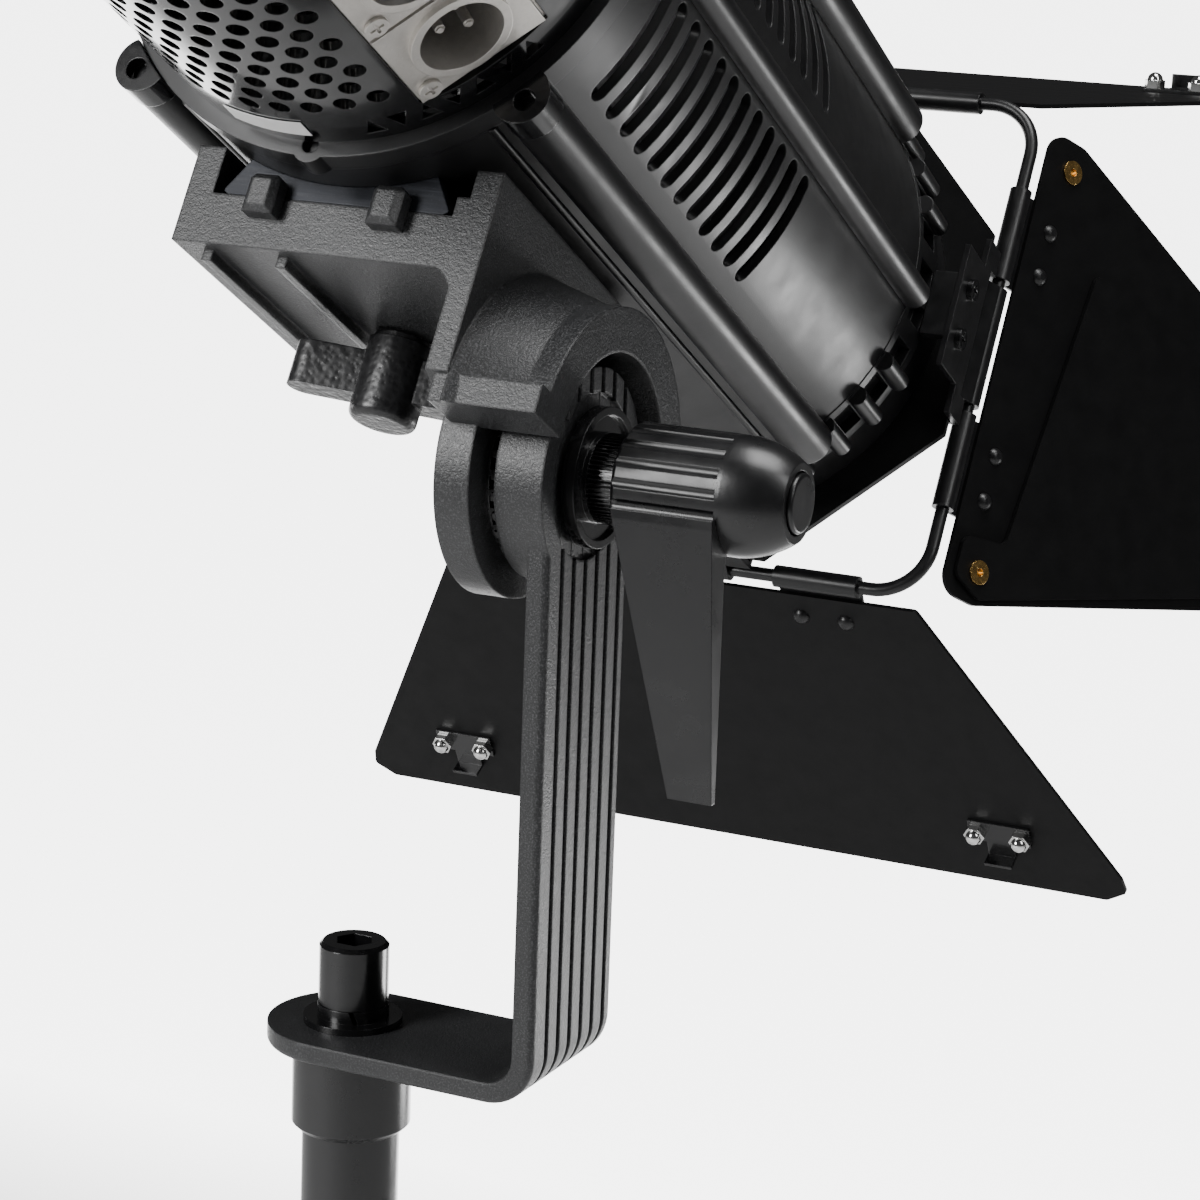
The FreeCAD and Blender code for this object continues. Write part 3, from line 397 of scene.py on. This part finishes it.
def lamp_point(radius, angle, y):
    """A point round the lamp's own axis, in the row frame; 0 is straight down, +90 towards +X."""
    a = math.radians(angle)
    return LAMP @ Vector((radius * math.sin(a), y, AXIS_UP - radius * math.cos(a)))


def band(name, angles, radius, back, front, thickness, material, closed=False):
    """A thin strip of tube round the lamp's axis, through the given angles, that moves with the head."""
    verts = []
    for angle in angles:
        verts += [lamp_point(radius, angle, back), lamp_point(radius, angle, front)]
    faces = []
    for i in range(len(angles) if closed else len(angles) - 1):
        j = (i + 1) % len(angles)
        faces.append((2 * i, 2 * j, 2 * j + 1, 2 * i + 1))
    mesh = bpy.data.meshes.new(name)
    mesh.from_pydata(verts, [], faces)
    obj = bpy.data.objects.new(name, mesh)
    bpy.context.collection.objects.link(obj)
    obj.data.materials.append(material)
    obj.modifiers.new("thickness", "SOLIDIFY").thickness = thickness
    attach(obj, "head")
    return obj


def blank_label(material):
    """A small unprinted sticker on the underside of the rear cap, just behind the rim."""
    steps, first, last = 12, -17.0, 2.0
    angles = [first + (last - first) * i / steps for i in range(steps + 1)]
    band("blank_label", angles, radius=0.0612, back=-0.0675, front=-0.0615, thickness=0.00015,
         material=material)


def baffle(material):
    """Dark tube inside the housing that keeps the slots from showing daylight; a visual stand-in."""
    steps = 64
    angles = [360.0 * i / steps for i in range(steps)]
    tube = band("baffle", angles, radius=0.0545, back=0.030, front=0.135, thickness=0.0012,
                material=material, closed=True)


# ---------------------------------------------------------------- floor, light and camera

FLOOR_DROP = 0.35          # below the lowest point of the object
FLOOR_HALF = 30.0
GLOW = 5.0                 # strength of the painted glow, emission on the part of the floor behind the object
GLOW_NEAR = (0.5, 0.8)     # y over which the glow comes in behind the object
GLOW_SLANT = 0.28          # the glow's right-hand edge runs along x + slant * y
GLOW_EDGE = (0.24, 0.5)    # over which it fades out to the right
WORLD_STRENGTH = 0.06


def floor():
    """Pale floor with a painted glow: emission behind and to the left of the object, as the camera sees
    it.
    """
    low = CAD_BOX[0][2] - FLOOR_DROP
    size = FLOOR_HALF
    mesh = bpy.data.meshes.new("floor")
    corners = [(-size, -size, low), (size, -size, low), (size, size, low), (-size, size, low)]
    mesh.from_pydata(corners, [], [(0, 1, 2, 3)])
    obj = bpy.data.objects.new("floor", mesh)
    bpy.context.collection.objects.link(obj)
    paint = Shader("floor_paint_and_painted_glow", (0.85, 0.85, 0.85), 0.9)
    paint.bsdf.inputs["Emission Color"].default_value = (1, 1, 1, 1)
    split = paint.add("ShaderNodeSeparateXYZ")
    paint.link(paint.coords, split.inputs[0])
    behind = paint.ramp(split.outputs["Y"], *GLOW_NEAR)
    slant = paint.add("ShaderNodeMath", operation="MULTIPLY_ADD")
    paint.link(split.outputs["Y"], slant.inputs[0])
    slant.inputs[1].default_value = GLOW_SLANT
    paint.link(split.outputs["X"], slant.inputs[2])
    left = paint.ramp(slant.outputs[0], *GLOW_EDGE, GLOW, 0.0)
    glow = paint.add("ShaderNodeMath", operation="MULTIPLY")
    paint.link(behind, glow.inputs[0])
    paint.link(left, glow.inputs[1])
    # painted glow: emission strength, full behind the object and fading out to the right
    paint.link(glow.outputs[0], paint.bsdf.inputs["Emission Strength"])
    obj.data.materials.append(paint.material)


def softbox(name, place, size, power, target=(0.0, 0.08, 0.2)):
    """Rectangular area light, in watts, turned towards a point on the object."""
    data = bpy.data.lights.new(name, "AREA")
    data.shape = "RECTANGLE"
    data.size, data.size_y = size
    data.energy = power
    obj = bpy.data.objects.new(name, data)
    obj.location = place
    obj.rotation_euler = (Vector(target) - Vector(place)).to_track_quat("-Z", "Y").to_euler()
    bpy.context.collection.objects.link(obj)


def lights():
    """Soft boxes round the object, and a faint white world."""
    softbox("key_left", (-0.9, -1.4, 1.0), (0.6, 1.1), 46.0)
    softbox("right_strip", (1.3, -0.3, 1.2), (0.3, 1.2), 9.0)
    softbox("low_right", (0.42, 0.68, -0.2), (0.25, 0.12), 1.6, (0.05, 0.13, 0.28))
    softbox("top", (0.3, 0.2, 1.7), (0.9, 0.7), 24.0)
    world = bpy.data.worlds.new("studio")
    world.use_nodes = True
    background = world.node_tree.nodes["Background"]
    background.inputs["Color"].default_value = (1, 1, 1, 1)
    background.inputs["Strength"].default_value = WORLD_STRENGTH
    bpy.context.scene.world = world


def camera():
    """Stands round the object at its azimuth and elevation, offset so that the framing matches."""
    azimuth, elevation = math.radians(CAMERA_AZIMUTH), math.radians(CAMERA_ELEVATION)
    level = math.cos(elevation)
    back = Vector((math.sin(azimuth) * level, -math.cos(azimuth) * level, math.sin(elevation)))
    right = Vector((math.cos(azimuth), math.sin(azimuth), 0.0))
    up = back.cross(right)
    roll = Matrix.Rotation(math.radians(CAMERA_ROLL), 3, back)
    right, up = roll @ right, roll @ up
    data = bpy.data.cameras.new("camera")
    data.lens = CAMERA_LENS
    data.sensor_width = 36.0
    data.clip_start = 0.05
    obj = bpy.data.objects.new("camera", data)
    foot = Vector((0, 0, FOOT_HEIGHT))
    place = CAMERA_RIGHT * right + CAMERA_UP * up + CAMERA_DISTANCE * back + foot
    turn = Matrix((right, up, back)).transposed()
    obj.matrix_world = Matrix.Translation(place) @ turn.to_4x4()
    bpy.context.collection.objects.link(obj)
    bpy.context.scene.camera = obj


camera()
floor()
lights()
made = dress_nodes()
blank_label(label_film())
baffle(made["fan_plastic"])
